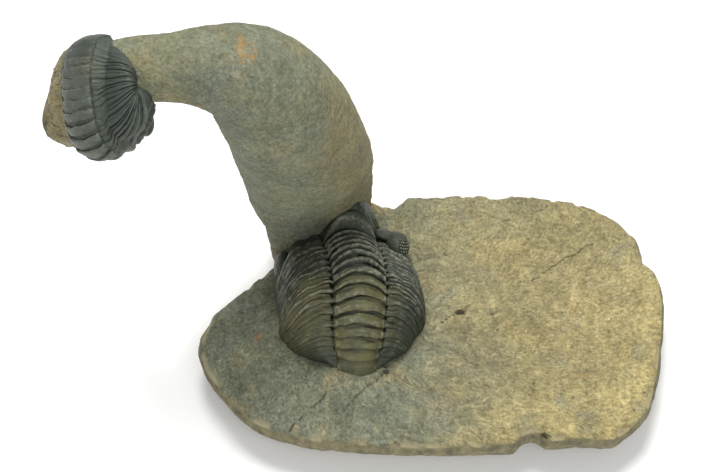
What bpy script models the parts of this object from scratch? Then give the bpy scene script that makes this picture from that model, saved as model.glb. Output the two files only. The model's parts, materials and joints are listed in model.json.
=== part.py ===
"""Two fossil trilobites on one piece of limestone.

The lower trilobite lies arched on the slab. A curved arm of stone rises from its head and
carries an enrolled trilobite clear of the slab. Four closed solids: stone_slab, stone_arm,
trilobite_on_slab and trilobite_on_arm. The origin is the middle of the slab's flat
underside, +Z up, and the lower trilobite's head points to +Y. Lengths are in millimetres
until build_mesh turns them into metres.
"""
from math import pi, radians

import bpy
import bmesh
import numpy as np
from mathutils import Matrix, Vector, geometry, noise

MM = 0.001
JOINT_GAP = 0.3

# Slab: its rim seen from above, from the right-hand end round by the back
SLAB_RIM = [
    (45.2, 3.0), (45.2, 8.6), (44.2, 11.6), (41.8, 14.0), (41.4, 18.6), (37.6, 24.3),
    (33.8, 26.4), (28.6, 28.6), (22.8, 29.4), (18.0, 30.6), (13.8, 29.7), (7.6, 30.2),
    (1.8, 29.6), (-4.6, 29.6), (-7.2, 26.8), (-13.0, 29.6), (-20.0, 31.8), (-27.0, 29.6),
    (-31.6, 24.4), (-31.8, 18.6), (-30.4, 13.8),(-36.2, 8.0), (-42.8, 1.6), (-44.8, -2.8), (-45.4, -6.6), (-43.8, -11.2),
    (-41.2, -14.8), (-38.2, -19.0), (-34.4, -22.6), (-30.0, -24.8), (-22.0, -26.7),
    (-12.0, -27.7), (-2.0, -28.0), (8.0, -27.8), (15.2, -27.4), (16.8, -25.2), (18.9, -24.9),
    (20.6, -26.6), (26.0, -26.2), (33.4, -26.4), (37.4, -23.6), (40.4, -20.2), (42.2, -15.8),
    (43.6, -9.0), (44.6, -3.0),
]
SLAB_TOP = 10.8
SLAB_WAVE = 0.5
SLAB_WAVE_LENGTH = 19.0
RIM_DROP = 1.2
RIM_DROP_REACH = 3.5
# Side of the slab: height, and how far it is drawn in from the rim
SLAB_SIDE = [(0.0, 7.4), (2.2, 6.2), (4.4, 2.6), (6.0, 0.6), (8.2, 0.0)]
SIDE_WAVE = 0.55
RIM_BREAK = 0.6
RIM_STEP = 3.2
GRID_STEP = 2.9
BED_REACH = 4.5
# Height of the lower body's flat floor, inside the slab, before the slab is cut from it
BODY_FLOOR = 4.6
# The plain shells that the arm is cut back to: their lift, and how much wider the upper one is
CLEARANCE = 0.5
ROOM_TRIM = 0.025
# Last cut, close along the upper body's own ribs where they stand past that shell
RIBS_GAP = 0.08

# Upper body: where its right side and its back face, and where its tail tip lies
UPPER_RIGHT = (-0.677, 0.3825, -0.629)
UPPER_UP = (-0.654, -0.704, 0.276)
UPPER_ORIGIN = (-58.75, 21.0, 70.9)
# Stone of the arm that fills the coil: its middle and its half-sizes across, along and up
FILL_CENTRE = np.array((-57.4, 11.0, 65.6))
FILL_SIZE = (9.4, 6.6, 6.4)

# Arm: its middle line (x, y, z) and half-thickness, from the lower head to the upper one
ARM_PATH = [
    (-22.2, 23.2, 6.5, 9.6), (-22.4, 22.6, 11.2, 10.4), (-22.6, 21.4, 20.6, 11.5),
    (-23.5, 20.0, 30.1, 12.0), (-24.7, 18.6, 40.1, 12.2), (-26.3, 17.2, 49.0, 12.2),
    (-28.8, 16.3, 57.8, 11.5), (-31.9, 15.7, 64.6, 10.6), (-34.7, 15.3, 67.9, 9.7),
    (-37.3, 15.0, 69.7, 8.8), (-40.4, 14.7, 70.6, 7.7), (-43.5, 14.4, 71.3, 6.8),
    (-48.5, 13.8, 71.5, 6.0), (-53.2, 13.1, 71.0, 5.7), (-54.9, 13.0, 70.0, 4.7),
]
# Thickness front to back as a share of the side to side one, by height
ARM_DEPTH = [(6.0, 0.70), (20.0, 0.76), (45.0, 0.90), (80.0, 0.95)]
ARM_SIDES = 18
ARM_STATIONS = 24
ARM_WAVE = 0.3
ARM_WAVE_LENGTH = 9.0

# Body plan that both trilobites share, as shares of the way from crest to margin
THORAX_RINGS = 11
TAIL_RINGS = 7
AXIS_SHARE = 0.36
FULCRUM_SHARE = 0.56
FLANK_STEEP = radians(86)
COLUMNS = [0, 0.14, 0.26, 0.36, 0.41, 0.48, 0.56, 0.67, 0.79, 0.90, 1.0]
# Steps across one ring, from its rear lip forward: place in the ring, lift
RING_STEPS = [(0.06, 0.30), (0.50, 0.02), (0.94, -0.32)]
TAIL_STEPS = [(0.25, 0.22), (0.85, -0.20)]
HEAD_STEPS = [
    (0.02, -0.30), (0.07, 0.30), (0.14, -0.50), (0.22, 0.10), (0.32, 0.1), (0.43, 0.1),
    (0.54, 0.1), (0.65, 0.1), (0.75, 0.1), (0.84, 0.1), (0.91, 0.1), (0.96, 0.0), (0.99, 0.0),
]
PLEURA_RISE = 0.7
# Width of the tail's blunt end as a share of its full width
TAIL_BLUNT = 0.22
EYE_RING = 3.4
EYE_SHARE = 0.62
EYE_SIZE = (2.5, 3.1, 3.0)
EYE_SINK = 0.3

SHELL_COLOUR = (0.085, 0.09, 0.085)
STONE_COLOUR = (0.27, 0.26, 0.19)
ARM_COLOUR = (0.23, 0.23, 0.18)


def clear_scene():
    for thing in list(bpy.data.objects):
        bpy.data.objects.remove(thing, do_unlink=True)


def material(name, colour, roughness):
    made = bpy.data.materials.new(name)
    made.use_nodes = True
    shader = made.node_tree.nodes["Principled BSDF"]
    shader.inputs["Base Color"].default_value = (*colour, 1.0)
    shader.inputs["Roughness"].default_value = roughness
    shader.inputs["Metallic"].default_value = 0.0
    return made


def build_mesh(name, points, faces, finish):
    """Object from points in millimetres, with its faces turned outward."""
    mesh = bpy.data.meshes.new(name)
    bm = bmesh.new()
    corners = [bm.verts.new(Vector(p) * MM) for p in points]
    for face in faces:
        bm.faces.new([corners[i] for i in face])
    bmesh.ops.recalc_face_normals(bm, faces=bm.faces)
    bm.to_mesh(mesh)
    bm.free()
    mesh.materials.append(finish)
    thing = bpy.data.objects.new(name, mesh)
    bpy.context.scene.collection.objects.link(thing)
    return thing


def as_cutter(thing):
    thing.hide_render = True
    thing.display_type = "WIRE"
    return thing


def boolean(thing, tool, operation):
    step = thing.modifiers.new(operation.lower(), "BOOLEAN")
    step.operation = operation
    step.solver = "EXACT"
    step.object = tool


def glide(x, knots):
    """Smooth curve through (x, y) knots that never swings past them."""
    at = np.array([k[0] for k in knots], float)
    val = np.array([k[1] for k in knots], float)
    step = np.diff(val) / np.diff(at)
    slope = np.zeros(len(at))
    slope[0], slope[-1] = step[0], step[-1]
    for i in range(1, len(at) - 1):
        if step[i - 1] * step[i] > 0:
            slope[i] = 2 * step[i - 1] * step[i] / (step[i - 1] + step[i])
    x = np.clip(np.asarray(x, float), at[0], at[-1])
    i = np.clip(np.searchsorted(at, x, side="right") - 1, 0, len(at) - 2)
    h = at[i + 1] - at[i]
    t = (x - at[i]) / h
    rise = (3 * t**2 - 2 * t**3) * (val[i + 1] - val[i])
    return val[i] + rise + h * ((t**3 - 2 * t**2 + t) * slope[i] + (t**3 - t**2) * slope[i + 1])


def turned(yaw, pitch, roll):
    """Rotation: roll about +Y first, then pitch about +X, then yaw about +Z, in degrees."""
    spin = Matrix.Rotation(radians(yaw), 3, "Z") @ Matrix.Rotation(radians(pitch), 3, "X")
    return np.array(spin @ Matrix.Rotation(radians(roll), 3, "Y"))


class Trilobite:
    """One trilobite's shell as a surface over ring (length along the back) and share across.

    The back is a curve in the body's middle plane, given by the angle of its upward
    direction at each length. Depth is measured down from that curve, and the flanks hang
    from flank_turn, a steadier curve, so that tightly bent segments don't cross.
    """

    def __init__(self, tail, ring, head, turn, flank_turn, half_width, vault, axis, crest,
                 tail_crest, fulcrum, sweep, bow, dome, taper, frame, origin, trim=1.0):
        self.tail = tail
        lengths = np.linspace(ring[0], ring[1], THORAX_RINGS)
        self.bounds = tail + np.concatenate([[0], np.cumsum(lengths)])
        self.neck = self.bounds[-1]
        self.head = head
        self.half_width = half_width
        self.vault = vault
        self.axis = axis
        self.crest = crest
        self.tail_crest = tail_crest
        self.fulcrum = fulcrum
        self.sweep = sweep
        self.bow = bow
        self.dome = dome
        self.taper = taper
        self.flank_turn = flank_turn
        self.trim = trim
        self.frame = frame
        self.origin = np.array(origin, float)
        self.along = np.linspace(-4, self.neck + head + 4, 1200)
        self.angle = np.radians(glide(self.along, turn))
        middle = (self.angle[1:] + self.angle[:-1]) / 2
        step = np.diff(self.along)
        self.fore = np.concatenate([[0], np.cumsum(np.sin(middle) * step)])
        self.rise = np.concatenate([[0], np.cumsum(np.cos(middle) * step)])
        self.fore -= np.interp(0, self.along, self.fore)
        self.rise -= np.interp(0, self.along, self.rise)

    def section(self, share):
        """Half cross-section of a ring: lateral reach, depth, pleural swelling and sweep."""
        arch = np.clip(share / AXIS_SHARE, 0, 1) * pi / 2
        x = self.axis * np.sin(arch)
        depth = self.crest * (1 - np.cos(arch))
        t = np.clip((share - AXIS_SHARE) / (FULCRUM_SHARE - AXIS_SHARE), 0, 1)
        x = x + (self.fulcrum[0] - self.axis) * t
        depth = depth + self.fulcrum[1] * t
        swell = PLEURA_RISE * np.sin(pi * t**0.6)
        t = np.clip((share - FULCRUM_SHARE) / (1 - FULCRUM_SHARE), 0, 1) * FLANK_STEEP
        x = x + (self.half_width - self.fulcrum[0]) * np.sin(t) / np.sin(FLANK_STEEP)
        drop = self.vault - self.crest - self.fulcrum[1]
        depth = depth + drop * (1 - np.cos(t)) / (1 - np.cos(FLANK_STEEP))
        swept = np.clip((share - 0.48) / 0.52, 0, 1) ** 1.4
        return x, depth, swell, swept

    def row(self, ring):
        """Axis place, half-width and height, then margin place, reach and depth, of a row."""
        knots = [(self.tail, 0.94), (self.neck - 8, 1.0), (self.neck, 1.0)]
        crest = self.crest * glide(ring, [(self.tail, self.tail_crest), (self.tail + 10, 1.0),
                                          (self.neck, 1.0)])
        if ring < self.tail:
            v = ring / self.tail
            fan = pi / 2 * v**0.85
            width = self.axis * 0.94 * np.sqrt(1 - (1 - v) ** 4) * (0.85 + 0.15 * v)
            spread = TAIL_BLUNT + (1 - TAIL_BLUNT) * np.sin(fan)
            reach = self.half_width * glide(self.tail, self.taper) * spread
            width = min(max(width, 0.5 * self.axis), 0.7 * reach)
            edge = 0.45 * crest + 0.3
            return (0.6 + v * (self.tail - 0.6), width, crest * (0.45 + 0.55 * v),
                    (self.tail - self.sweep) * (1 - np.cos(fan)), reach,
                    edge + (self.vault - edge) * np.sin(fan))
        if ring <= self.neck:
            reach = self.half_width * glide(ring, self.taper)
            return ring, self.axis * glide(ring, knots), crest, ring - self.sweep, reach, self.vault
        c = (ring - self.neck) / self.head
        fan = pi / 2 * c**0.9
        reach = self.half_width * glide(self.neck, self.taper) * np.cos(fan)
        spread = glide(c, [(0, 1.0), (0.25, 1.02), (0.75, 1.5), (1, 1.55)])
        width = min(self.axis * spread * np.sqrt(1 - c**5), reach * 0.96)
        return (self.neck + c * (self.head - 0.8), width, crest * (1 - 0.6 * c),
                self.neck - self.sweep + (self.head + self.sweep) * np.sin(fan), reach,
                1.5 + (self.vault - 1.5) * np.cos(fan))

    def point(self, ring, share, lift=0.0):
        """World point of the shell at one ring, for signed share from -1 (left) to 1."""
        share = np.asarray(share, float)
        side = np.sign(share)
        share = np.abs(share)
        place, width, crest, edge_place, edge, edge_depth = self.row(ring)
        x, depth, swell, swept = self.section(share)
        on_axis = share <= AXIS_SHARE
        across = x / self.axis
        out = np.clip((x - self.axis) / (self.half_width - self.axis), 0, 1)
        down = (depth - self.crest) / (self.vault - self.crest)
        x = np.where(on_axis, across * width, width + out * (edge - width))
        low = np.where(on_axis, depth / self.crest * crest, crest + down * (edge_depth - crest))
        swell = swell * min(1.0, 1.5 * ring / self.tail)
        low = low - swell * np.clip((edge - width) / (self.half_width - self.axis), 0, 1)
        bow = self.bow * np.clip(1 - across**2, 0, 1)
        if ring < self.tail:
            bow = bow * ring / self.tail
        if ring > self.neck:
            c = (ring - self.neck) / self.head
            bow = bow * (1 - c)
            dome = self.dome * np.sin(pi * min(c, 1.0) ** 0.75) ** 0.8
            low = low - np.where(on_axis, dome * np.clip(1 - across**2.5, 0, 1), 0)
        along = place + bow + swept * (edge_place - place)
        flank = np.clip((share - AXIS_SHARE) / (FULCRUM_SHARE - AXIS_SHARE), 0, 1)
        fade = 1 - 0.5 * flank - 0.45 * np.clip((share - 0.8) / 0.2, 0, 1)
        fade = fade * min(1.0, ring / self.tail * 3)
        return self.world(x * side, along, low - lift * fade, flank)

    def world(self, x, along, depth, flank):
        fore = np.interp(along, self.along, self.fore)
        rise = np.interp(along, self.along, self.rise)
        a = np.interp(along, self.along, self.angle)
        b = np.radians(glide(along, self.flank_turn))
        near = np.minimum(depth, self.crest)
        far = depth - near
        fore = fore + near * np.cos(a) + far * (np.cos(a) * (1 - flank) + np.cos(b) * flank)
        rise = rise - near * np.sin(a) - far * (np.sin(a) * (1 - flank) + np.sin(b) * flank)
        return np.stack([x, fore, rise], -1) @ self.frame.T + self.origin

    def rows(self):
        """Rings of the mesh rows, tail first, each with its lift."""
        rows = [(0.01 * self.tail, 0.0)]
        for i in range(TAIL_RINGS):
            for place, lift in TAIL_STEPS:
                rows.append(((i + place) / TAIL_RINGS * self.tail, lift))
        for start, end in zip(self.bounds, self.bounds[1:]):
            for place, lift in RING_STEPS:
                rows.append((start + place * (end - start), lift))
        for place, lift in HEAD_STEPS:
            rows.append((self.neck + place * self.head, lift))
        return rows

    def surface(self, clearance=None):
        """Grid of shell points, rows by columns, left margin to right; plain if grown."""
        share = np.array([-c for c in reversed(COLUMNS[1:])] + COLUMNS) * self.trim
        lifts = [lift if clearance is None else clearance for ring, lift in self.rows()]
        return np.array([self.point(row[0], share, lift) for row, lift in zip(self.rows(), lifts)])

    def eye_frame(self, side):
        """Centre and lateral, forward and outward directions of the eye on one side."""
        ring = self.neck + EYE_RING
        share = side * EYE_SHARE
        here = self.point(ring, share)
        ahead = self.point(ring + 0.5, share) - here
        ahead /= np.linalg.norm(ahead)
        lateral = self.point(ring, share + 0.03) - self.point(ring, share - 0.03)
        out = np.cross(lateral, ahead)
        out /= np.linalg.norm(out)
        return here + out * EYE_SINK, np.cross(ahead, out), ahead, out


def close_ends(faces, seams):
    """Sew each end row to itself, left half to right half."""
    for seam in seams:
        half = len(seam) // 2
        for j in range(half - 1):
            faces.append((seam[j], seam[j + 1], seam[-2 - j], seam[-1 - j]))
        faces.append((seam[half - 1], seam[half], seam[half + 1]))


def shell_solid(name, body, finish, floor=None, clearance=None):
    """Closed solid of a trilobite: shell, end seams and belly, on a flat floor if given."""
    grid = body.surface(clearance)
    count, wide = grid.shape[:2]
    points = [tuple(p) for p in grid.reshape(-1, 3)]
    faces = []
    for i in range(count - 1):
        for j in range(i * wide, (i + 1) * wide - 1):
            faces.append((j, j + 1, j + wide + 1, j + wide))
    left = [i * wide for i in range(count)]
    right = [i * wide + wide - 1 for i in range(count)]
    seams = [list(range(wide)), list(range((count - 1) * wide, count * wide))]
    if floor is not None:
        for rail in (left, right):
            lower = []
            for k in rail:
                lower.append(len(points))
                points.append((points[k][0], points[k][1], floor))
            for i in range(count - 1):
                faces.append((rail[i], rail[i + 1], lower[i + 1], lower[i]))
            for seam, k in ((seams[0], lower[0]), (seams[1], lower[-1])):
                seam.insert(0 if rail is left else len(seam), k)
            rail[:] = lower
    for i in range(count - 1):
        faces.append((left[i], left[i + 1], right[i + 1], right[i]))
    close_ends(faces, seams)
    return build_mesh(name, points, faces, finish)


def ellipsoid(name, centre, axes, radii, finish, turns=12, rings=7):
    """Closed ellipsoid with the given axis directions and radii."""
    points = [centre - axes[2] * radii[2]]
    for r in range(1, rings):
        tilt = pi * r / rings
        for t in range(turns):
            turn = 2 * pi * t / turns
            points.append(centre + axes[0] * radii[0] * np.sin(tilt) * np.cos(turn)
                          + axes[1] * radii[1] * np.sin(tilt) * np.sin(turn)
                          - axes[2] * radii[2] * np.cos(tilt))
    points.append(centre + axes[2] * radii[2])
    faces = []
    last = len(points) - 1
    for t in range(turns):
        following = (t + 1) % turns
        faces.append((0, 1 + t, 1 + following))
        for r in range(rings - 2):
            a = 1 + r * turns
            faces.append((a + t, a + turns + t, a + turns + following, a + following))
        a = 1 + (rings - 2) * turns
        faces.append((a + t, last, a + following))
    return build_mesh(name, [tuple(p) for p in points], faces, finish)


def add_eyes(thing, body, finish):
    """Join both eyes to a head, and return them."""
    eyes = []
    for side, word in ((-1, "left"), (1, "right")):
        centre, lateral, ahead, out = body.eye_frame(side)
        eye = ellipsoid(f"{thing.name}_{word}_eye", centre, (lateral, ahead, out), EYE_SIZE, finish)
        boolean(thing, as_cutter(eye), "UNION")
        eyes.append(eye)
    return eyes


def grown(thing, name, gap):
    """Copy of a mesh object with every point moved out along its normal."""
    mesh = thing.data.copy()
    mesh.name = name
    bm = bmesh.new()
    bm.from_mesh(mesh)
    bm.normal_update()
    moves = [(v, v.normal * gap * MM) for v in bm.verts]
    for v, move in moves:
        v.co += move
    bm.to_mesh(mesh)
    bm.free()
    copy = bpy.data.objects.new(name, mesh)
    bpy.context.scene.collection.objects.link(copy)
    return as_cutter(copy)


def lower_trilobite():
    """Arched body on the slab: tail to the front, head to the back."""
    tail, ring, head = 9.8, (2.6, 2.13), 15.5
    neck = tail + sum(ring) / 2 * THORAX_RINGS
    turn = [(-4, 20), (0, 30), (tail, 46), (tail + 5, 58), (tail + 10.3, 84), (tail + 15, 110),
            (neck - 6, 120), (neck, 123), (neck + 7, 127), (neck + 11, 150), (neck + 15.5, 200),
            (neck + 19.5, 205)]
    flank = [(-4, 45), (0, 50), (tail, 74), (tail + 10, 104), (neck - 6, 116), (neck, 121),
             (neck + 15.5, 150), (neck + 19.5, 160)]
    taper = [(0, 0.82), (tail, 0.86), (tail + 9, 0.98), (neck, 1.0), (neck + 20, 1.0)]
    return Trilobite(tail, ring, head, turn, flank, half_width=14.3, vault=12.8, axis=5.2,
                     crest=3.3, tail_crest=1.0, fulcrum=(8.8, 0.5), sweep=3.6, bow=0.8,
                     dome=5.2, taper=taper, frame=turned(4, 0, 9), origin=(-14.6, -14.5, 12.6))


def upper_trilobite():
    """Enrolled body at the end of the arm: left flank to the front and up, crest to the left."""
    tail, ring, head = 9.4, (1.68, 2.95), 15.0
    neck = tail + sum(ring) / 2 * THORAX_RINGS
    turn = [(-4, -72), (0, -47), (tail, 45), (tail + 6.4, 66.5), (tail + 12.7, 81),
            (tail + 19.1, 127.5), (neck, 196.5), (neck + 15, 251.5), (neck + 19, 271)]
    flank = [(-4, -27), (0, -17), (tail, 50), (neck, 191.5), (neck + 15, 191.6), (neck + 19, 201)]
    taper = [(0, 0.95), (tail, 0.96), (tail + 9, 1.0), (neck, 1.0), (neck + 20, 1.0)]
    lateral = np.array(UPPER_RIGHT)
    upward = np.array(UPPER_UP)
    upward -= upward @ lateral / (lateral @ lateral) * lateral
    lateral /= np.linalg.norm(lateral)
    upward /= np.linalg.norm(upward)
    frame = np.stack([lateral, np.cross(upward, lateral), upward], 1)
    return Trilobite(tail, ring, head, turn, flank, half_width=13.1, vault=7.1, axis=4.25,
                     crest=1.95, tail_crest=0.7, fulcrum=(6.2, 1.15), sweep=1.6, bow=0.5,
                     dome=1.8, taper=taper, frame=frame, origin=UPPER_ORIGIN, trim=0.86)


def rim_distance(x, y):
    """Distance in plan from a point to the slab's rim."""
    a = np.array(SLAB_RIM)
    b = np.roll(a, -1, axis=0)
    p = np.array([x, y])
    span = b - a
    t = np.clip(((p - a) * span).sum(1) / (span**2).sum(1), 0, 1)
    return np.sqrt(((a + span * t[:, None] - p) ** 2).sum(1).min())


def slab_height(x, y, bed):
    """Height of the slab's upper face, banked up against the margin of the body on it."""
    wave = noise.fractal(Vector((x, y, 4.0)) / SLAB_WAVE_LENGTH, 0.8, 2.1, 3)
    height = SLAB_TOP + SLAB_WAVE * wave
    edge = np.clip(1 - rim_distance(x, y) / RIM_DROP_REACH, 0, 1)
    height -= RIM_DROP * edge**2
    reach = np.hypot(bed[:, 0] - x, bed[:, 1] - y)
    nearest = reach.argmin()
    rise = bed[nearest, 2] - height
    if rise > 0:
        height += rise * np.exp(-(reach[nearest] / BED_REACH) ** 2)
    return height


def rim_points():
    """Rim cut into short lengths, with the outward direction at each point."""
    corners = [Vector(c) for c in SLAB_RIM]
    points = []
    for here, following in zip(corners, corners[1:] + corners[:1]):
        parts = max(1, round((following - here).length / RIM_STEP))
        for k in range(parts):
            points.append(here.lerp(following, k / parts))
    ring = []
    for i, p in enumerate(points):
        along = points[(i + 1) % len(points)] - points[i - 1]
        ring.append((p, Vector((along.y, -along.x)).normalized()))
    return ring


def build_slab(bed, finish):
    """Slab with an uneven upper face, a broken rim and an undercut, flat-bottomed base."""
    ring = rim_points()
    points = []
    for level, (z, draw) in enumerate(SLAB_SIDE):
        for p, out in ring:
            at = p - out * draw
            if level:
                wave = noise.noise(Vector((p.x, p.y, z * 1.7)) / 5.5)
                at = at + out * wave * SIDE_WAVE
            points.append((at.x, at.y, z))
    count = len(ring)
    top = []
    for p, out in ring:
        at = p - out * RIM_BREAK
        top.append(len(points))
        points.append((at.x, at.y, slab_height(at.x, at.y, bed)))
    flat = [Vector(points[k][:2]) for k in top]
    rows = round(max(abs(c[1]) for c in SLAB_RIM) / GRID_STEP) + 1
    columns = round(max(abs(c[0]) for c in SLAB_RIM) / GRID_STEP) + 1
    inner = []
    for j in range(-rows, rows + 1):
        for i in range(-columns, columns + 1):
            p = Vector(((i + 0.5 * (j % 2)) * GRID_STEP, j * GRID_STEP * 0.87))
            if inside(p, flat) and min((q - p).length for q in flat) > GRID_STEP * 0.62:
                inner.append(p)
    edges = [(k, (k + 1) % count) for k in range(count)]
    net = geometry.delaunay_2d_cdt(flat + inner, edges, [], 1, 0.0001)
    spots, cells, source = net[0], net[2], net[3]
    index = []
    for spot, origin in zip(spots, source):
        if origin and origin[0] < count:
            index.append(top[origin[0]])
        else:
            index.append(len(points))
            points.append((spot.x, spot.y, slab_height(spot.x, spot.y, bed)))
    faces = [tuple(index[k] for k in cell) for cell in cells]
    for level in range(len(SLAB_SIDE)):
        base = level * count
        for k in range(count):
            following = (k + 1) % count
            faces.append((base + k, base + following, base + count + following, base + count + k))
    faces.append(tuple(range(count - 1, -1, -1)))
    return build_mesh("stone_slab", points, faces, finish)


def inside(p, outline):
    """Whether a point lies inside a closed outline."""
    crossings = 0
    for a, b in zip(outline, outline[1:] + outline[:1]):
        if (a.y > p.y) != (b.y > p.y) and p.x < a.x + (p.y - a.y) / (b.y - a.y) * (b.x - a.x):
            crossings += 1
    return crossings % 2 == 1


def build_arm(finish):
    """Bent arm: rings square to its middle line, thinner front to back than side to side."""
    knots = np.array(ARM_PATH)
    travel = np.concatenate([[0], np.cumsum(np.linalg.norm(np.diff(knots[:, :3], axis=0), axis=1))])
    stations = np.linspace(0, travel[-1], ARM_STATIONS)
    line = np.stack([glide(stations, list(zip(travel, knots[:, k]))) for k in range(4)], 1)
    points, faces = [], []
    for i, (x, y, z, half) in enumerate(line):
        here = Vector((x, y, z))
        ahead = Vector(line[min(i + 1, ARM_STATIONS - 1), :3] - line[max(i - 1, 0), :3]).normalized()
        depthwise = Vector((0, 1, 0))
        depthwise = (depthwise - ahead * depthwise.dot(ahead)).normalized()
        sideways = depthwise.cross(ahead)
        for t in range(ARM_SIDES):
            turn = 2 * pi * t / ARM_SIDES
            spoke = sideways * np.cos(turn) + depthwise * np.sin(turn) * float(glide(z, ARM_DEPTH))
            wave = noise.fractal((here + spoke * half) / ARM_WAVE_LENGTH, 0.8, 2.1, 3)
            points.append(here + spoke * (half + ARM_WAVE * wave))
    for i in range(ARM_STATIONS - 1):
        for t in range(ARM_SIDES):
            a, b = i * ARM_SIDES + t, i * ARM_SIDES + (t + 1) % ARM_SIDES
            faces.append((a, b, b + ARM_SIDES, a + ARM_SIDES))
    faces.append(tuple(range(ARM_SIDES)))
    faces.append(tuple(range(len(points) - ARM_SIDES, len(points))))
    return build_mesh("stone_arm", points, faces, finish)


def main():
    clear_scene()
    shell = material("dark_shell", SHELL_COLOUR, 0.55)
    stone = material("slab_limestone", STONE_COLOUR, 0.85)
    arm_stone = material("arm_limestone", ARM_COLOUR, 0.8)

    lower = lower_trilobite()
    margin = lower.surface()
    bed = np.concatenate([margin[:, 0], margin[:, -1], margin[0]])
    slab = build_slab(bed, stone)
    slab_room = grown(slab, "slab_room", JOINT_GAP)
    on_slab = shell_solid("trilobite_on_slab", lower, shell, floor=BODY_FLOOR)
    eyes = add_eyes(on_slab, lower, shell)
    boolean(on_slab, slab_room, "DIFFERENCE")

    upper = upper_trilobite()
    on_arm = shell_solid("trilobite_on_arm", upper, shell)

    arm = build_arm(arm_stone)
    filling = ellipsoid("filling", FILL_CENTRE, upper.frame.T, FILL_SIZE, arm_stone)
    boolean(arm, as_cutter(filling), "UNION")
    lower_room = shell_solid("lower_room", lower, shell, BODY_FLOOR, CLEARANCE)
    upper.trim += ROOM_TRIM
    upper_room = shell_solid("upper_room", upper, shell, None, CLEARANCE)
    ribs_room = grown(on_arm, "ribs_room", RIBS_GAP)
    eye_rooms = [grown(eye, f"{eye.name}_room", JOINT_GAP) for eye in eyes]
    for room in (slab_room, lower_room, upper_room, *eye_rooms, ribs_room):
        boolean(arm, as_cutter(room), "DIFFERENCE")


main()
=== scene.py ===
"""Looks of a fossil pair: two trilobites on one carved piece of limestone.

Every solid of the frame is replaced by a fine mesh of nearly the same form, with the ribs, pits,
grains, eye lenses and brush marks of the real surface. Lengths are millimetres until a mesh is
built, and X, Y and Z are the frame's own.
"""

import json
from math import cos, pi, radians, sin

import bmesh
import bpy
import numpy as np
from mathutils import Matrix, Vector, kdtree, noise

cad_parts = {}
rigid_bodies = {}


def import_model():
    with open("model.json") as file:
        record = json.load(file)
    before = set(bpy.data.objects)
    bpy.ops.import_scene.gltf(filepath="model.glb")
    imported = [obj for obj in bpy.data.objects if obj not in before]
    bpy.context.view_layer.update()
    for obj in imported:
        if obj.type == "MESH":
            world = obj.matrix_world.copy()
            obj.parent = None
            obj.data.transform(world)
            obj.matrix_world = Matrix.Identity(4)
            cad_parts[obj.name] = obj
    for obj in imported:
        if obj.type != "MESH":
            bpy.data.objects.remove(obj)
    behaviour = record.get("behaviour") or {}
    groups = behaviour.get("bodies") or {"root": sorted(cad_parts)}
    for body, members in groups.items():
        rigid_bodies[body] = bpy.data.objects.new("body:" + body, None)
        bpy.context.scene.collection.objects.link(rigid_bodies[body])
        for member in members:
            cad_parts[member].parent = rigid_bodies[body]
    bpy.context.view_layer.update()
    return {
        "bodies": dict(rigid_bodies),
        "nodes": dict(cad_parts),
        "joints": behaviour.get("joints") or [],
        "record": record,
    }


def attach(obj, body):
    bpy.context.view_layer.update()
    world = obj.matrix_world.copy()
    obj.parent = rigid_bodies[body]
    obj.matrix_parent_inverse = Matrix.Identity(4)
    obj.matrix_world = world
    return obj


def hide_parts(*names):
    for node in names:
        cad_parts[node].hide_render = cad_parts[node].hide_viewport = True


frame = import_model()

MM = 0.001

# Camera: its height above the horizon, what it looks at, how far off, and its lens
VIEW_ELEVATION = radians(56)
VIEW_TARGET = (-15.15, 6.4, 30.0)
VIEW_DISTANCE = 430.0
LENS = 116.44

# Slab rim seen from above, from the right-hand end round by the back
SLAB_RIM = [
    (45.2, 3.0), (45.2, 8.6), (44.2, 11.6), (41.8, 14.0), (41.4, 18.6), (37.6, 24.3),
    (33.8, 26.4), (28.6, 28.6), (22.8, 29.4), (18.0, 30.6), (13.8, 29.7), (7.6, 30.2),
    (1.8, 29.6), (-4.6, 29.6), (-7.2, 26.8), (-13.0, 29.6), (-20.0, 31.8), (-27.0, 29.6),
    (-31.6, 24.4), (-31.8, 18.6), (-30.4, 13.8), (-36.2, 8.0), (-42.8, 1.6), (-44.8, -2.8),
    (-45.4, -6.6), (-43.8, -11.2), (-41.2, -14.8), (-38.2, -19.0), (-34.4, -22.6),
    (-30.0, -24.8), (-22.0, -26.7), (-12.0, -27.7), (-2.0, -28.0), (8.0, -27.8),
    (15.2, -27.4), (16.8, -25.2), (18.9, -24.9), (20.6, -26.6), (26.0, -26.2), (33.4, -26.4),
    (37.4, -23.6), (40.4, -20.2), (42.2, -15.8), (43.6, -9.0), (44.6, -3.0),
]
SLAB_TOP = 10.8
SLAB_WAVE = 0.5
SLAB_WAVE_LENGTH = 19.0
RIM_DROP = 1.2
RIM_DROP_REACH = 3.5
# Side of the slab: height over the floor, and how far it is drawn in from the rim there
SLAB_SIDE = [(0.0, 7.4), (2.2, 6.2), (4.4, 2.6), (6.0, 0.6), (8.2, 0.0)]
RIM_BREAK = 0.6
BED_REACH = 4.5
RIM_SPACING = 0.42
RIM_SMOOTHINGS = 4
TOP_RINGS = 100
SIDE_ROWS = 22
# Middle of the rings of the slab's upper face, under the lower body, and share of the first ring
SLAB_CENTRE = np.array((-8.0, 4.0))
FIRST_RING = 0.04

# Layers of roughness: height, length, octaves, seed and squeeze of the heights
TOP_ROUGH = [(0.24, 6.5, 4, 5.0, 1.0), (0.09, 1.5, 3, 9.0, 1.0)]
SIDE_ROUGH = [(0.55, 5.5, 1, 0.0, 1.7), (0.30, 4.5, 3, 41.0, 2.2), (0.12, 0.9, 3, 43.0, 1.0)]
# Brushed strokes of the slab and the arm: width, and length and height on each
STROKE_WIDTH = 0.5
SLAB_STROKE = 2.6
SLAB_STROKE_HEIGHT = 0.11
ARM_STROKE = 2.4
ARM_STROKE_HEIGHT = 0.07
# Chips of the slab's rim: depth, and how pale they are
CHIP_DEPTH = 0.7
CHIP_TONE = 0.75
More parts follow.
